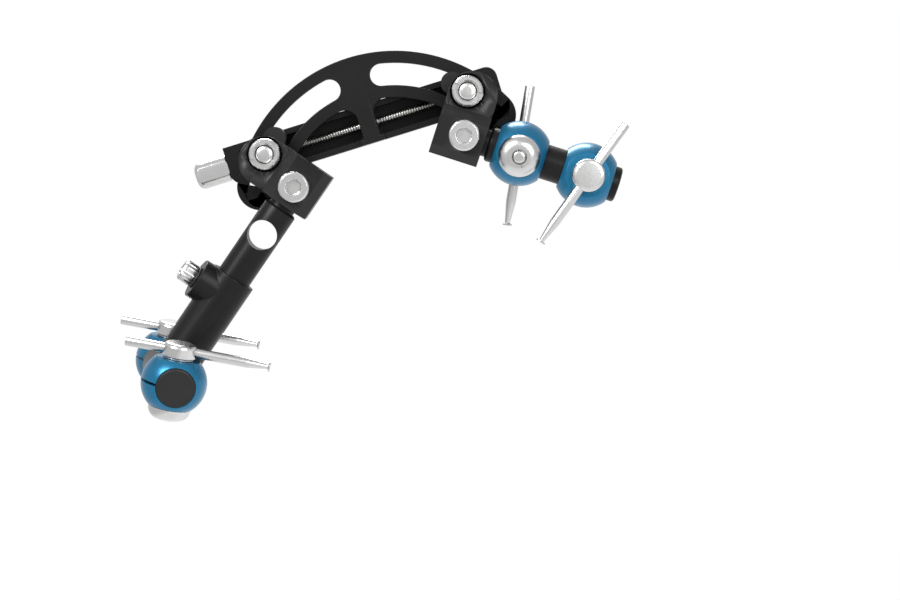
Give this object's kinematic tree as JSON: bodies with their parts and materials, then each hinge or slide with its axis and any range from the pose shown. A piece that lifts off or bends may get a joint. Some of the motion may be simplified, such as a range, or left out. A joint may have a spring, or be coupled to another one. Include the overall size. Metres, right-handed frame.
{
  "type": "external fixator",
  "caption": "Finger joint fixator: a screw-driven bar and slotted arc carry two swinging arms, whose split ball clamps hold tapered bone pins.",
  "frame": {"origin": "on the joint axis, which is the centre of curvature of the two slots, in the plane of the rod axes", "axes": "+X along the guide bar towards the proximal side, +Y along the joint axis away from the viewer, +Z away from the hand"},
  "size_m": [0.1216, 0.0368, 0.0656],
  "materials": {
    "black_anodised": "satin anodised",
    "blue_anodised": "satin anodised",
    "steel": "polished",
    "pin_steel": "bright drawn",
    "dark_washer": "matt"
  },
  "bodies": {
    "bar": {"guide_bar": "black_anodised"},
    "screw": {"lead_screw": "steel", "drive_knob": "steel", "knob_pin": "steel", "screw_collar": "steel"},
    "arc": {"arc_plate": "black_anodised"},
    "left_traveller": {"traveller_left": "steel", "pivot_stud_left": "steel", "castle_nut_left": "steel"},
    "right_traveller": {"traveller_right": "steel", "pivot_stud_right": "steel", "castle_nut_right": "steel"},
    "left_arm": {"slider_block_left": "black_anodised", "guide_pins_left": "steel", "clamp_screw_left": "steel"},
    "right_arm": {"slider_block_right": "black_anodised", "guide_pins_right": "steel", "clamp_screw_right": "steel", "proximal_rod": "black_anodised"},
    "distal_rod": {"distal_rod": "black_anodised"},
    "sleeve": {"distal_sleeve": "black_anodised", "thumb_washer": "dark_washer", "transverse_rod": "black_anodised"},
    "thumb": {"thumb_screw": "steel"},
    "near_clamp": {"near_clamp_ring": "blue_anodised", "near_dome_cap": "steel", "near_clamp_stud": "steel", "near_hub_washer": "steel"},
    "near_hub": {"near_pin_hub": "steel"},
    "near_pin": {"near_bone_pin": "pin_steel"},
    "far_clamp": {"far_clamp_ring": "blue_anodised", "far_dome_cap": "steel", "far_clamp_stud": "steel", "far_hub_washer": "steel"},
    "far_hub": {"far_pin_hub": "steel"},
    "far_pin": {"far_bone_pin": "pin_steel"},
    "front_clamp": {"front_clamp_ring": "blue_anodised", "front_dome_cap": "steel", "front_clamp_stud": "steel", "front_hub_washer": "steel"},
    "front_hub": {"front_pin_hub": "steel"},
    "front_pin": {"front_bone_pin": "pin_steel"},
    "rear_clamp": {"rear_clamp_ring": "blue_anodised", "rear_dome_cap": "steel", "rear_clamp_stud": "steel", "rear_hub_washer": "steel"},
    "rear_hub": {"rear_pin_hub": "steel"},
    "rear_pin": {"rear_bone_pin": "pin_steel"}
  },
  "joints": [
    {"name": "lead_screw_turn", "type": "hinge", "parent": "bar", "child": "screw", "pos_m": [-0.0332, 0.0147, 0.02075], "axis": [1, 0, 0], "continuous": true},
    {"name": "left_traveller_slide", "type": "slide", "parent": "bar", "child": "left_traveller", "axis": [1, 0, 0], "range_m": [-0.00102, 0.01302]},
    {"name": "right_traveller_slide", "type": "slide", "parent": "bar", "child": "right_traveller", "axis": [1, 0, 0], "range_m": [-0.01302, 0.00102]},
    {"name": "arc_plate_slide", "type": "slide", "parent": "bar", "child": "arc", "axis": [0, 0, 1], "range_m": [-0.0091, 0.00072]},
    {"name": "left_arm_turn", "type": "hinge", "parent": "left_traveller", "child": "left_arm", "pos_m": [-0.0234, 0, 0.02075], "axis": [0, 1, 0], "range_deg": [-2.3, 29.2]},
    {"name": "right_arm_turn", "type": "hinge", "parent": "right_traveller", "child": "right_arm", "pos_m": [0.0234, 0, 0.02075], "axis": [0, 1, 0], "range_deg": [-29.2, 2.3]},
    {"name": "distal_rod_turn", "type": "hinge", "parent": "left_arm", "child": "distal_rod", "pos_m": [-0.01749, 0, 0.01332], "axis": [-0.7826, 0, -0.6225], "range_deg": [-30, 30]},
    {"name": "sleeve_slide", "type": "slide", "parent": "distal_rod", "child": "sleeve", "axis": [-0.7826, 0, -0.6225], "range_m": [-0.003, 0.008]},
    {"name": "thumb_screw_turn", "type": "hinge", "parent": "sleeve", "child": "thumb", "pos_m": [-0.04608, -0.00152, -0.0007], "axis": [-0.6078, -0.2164, 0.7641], "range_deg": [0, 720]},
    {"name": "near_clamp_slide", "type": "slide", "parent": "right_arm", "child": "near_clamp", "axis": [0.8192, 0, -0.5736], "range_m": [-0.001, 0.0015]},
    {"name": "far_clamp_slide", "type": "slide", "parent": "right_arm", "child": "far_clamp", "axis": [0.8192, 0, -0.5736], "range_m": [-0.0015, 0.001]},
    {"name": "front_clamp_turn", "type": "hinge", "parent": "sleeve", "child": "front_clamp", "pos_m": [-0.05633, -0.01172, -0.0209], "axis": [-0.1347, 0.9763, 0.1694], "range_deg": [-15, 15]},
    {"name": "rear_clamp_turn", "type": "hinge", "parent": "sleeve", "child": "rear_clamp", "pos_m": [-0.05956, 0.01172, -0.01684], "axis": [-0.1347, 0.9763, 0.1694], "range_deg": [-15, 15]},
    {"name": "near_hub_turn", "type": "hinge", "parent": "near_clamp", "child": "near_hub", "pos_m": [0.03075, 0.00721, 0.00493], "axis": [0.06, 0.9945, 0.0856], "range_deg": [-15, 15]},
    {"name": "near_pin_slide", "type": "slide", "parent": "near_hub", "child": "near_pin", "axis": [-0.4431, 0.1034, -0.8905], "range_m": [-0.004, 0.004]},
    {"name": "far_hub_turn", "type": "hinge", "parent": "far_clamp", "child": "far_hub", "pos_m": [0.0431, -0.00725, -0.00464], "axis": [0, -1, 0], "range_deg": [-15, 15]},
    {"name": "far_pin_slide", "type": "slide", "parent": "far_hub", "child": "far_pin", "axis": [-0.7965, 0, -0.6046], "range_m": [-0.004, 0.004]},
    {"name": "front_hub_turn", "type": "hinge", "parent": "front_clamp", "child": "front_hub", "pos_m": [-0.05289, -0.01234, -0.01455], "axis": [0.4738, -0.0867, 0.8763], "range_deg": [-15, 15]},
    {"name": "front_pin_slide", "type": "slide", "parent": "front_hub", "child": "front_pin", "axis": [0.8805, 0.0605, -0.4701], "range_m": [-0.004, 0.004]},
    {"name": "rear_hub_turn", "type": "hinge", "parent": "rear_clamp", "child": "rear_hub", "pos_m": [-0.05613, 0.01109, -0.01048], "axis": [0.4738, -0.0867, 0.8763], "range_deg": [-15, 15]},
    {"name": "rear_pin_slide", "type": "slide", "parent": "rear_hub", "child": "rear_pin", "axis": [0.8805, 0.0605, -0.4701], "range_m": [-0.004, 0.004]}
  ],
  "couplings": [
    {"joint": "lead_screw_turn", "follows": "left_traveller_slide", "rad_per_m": -10472},
    {"joint": "right_traveller_slide", "follows": "left_traveller_slide", "ratio": -1},
    {"joint": "arc_plate_slide", "follows": "left_traveller_slide", "ratio": -0.69774},
    {"joint": "left_arm_turn", "follows": "left_traveller_slide", "rad_per_m": 39.14},
    {"joint": "right_arm_turn", "follows": "left_traveller_slide", "rad_per_m": -39.14}
  ]
}
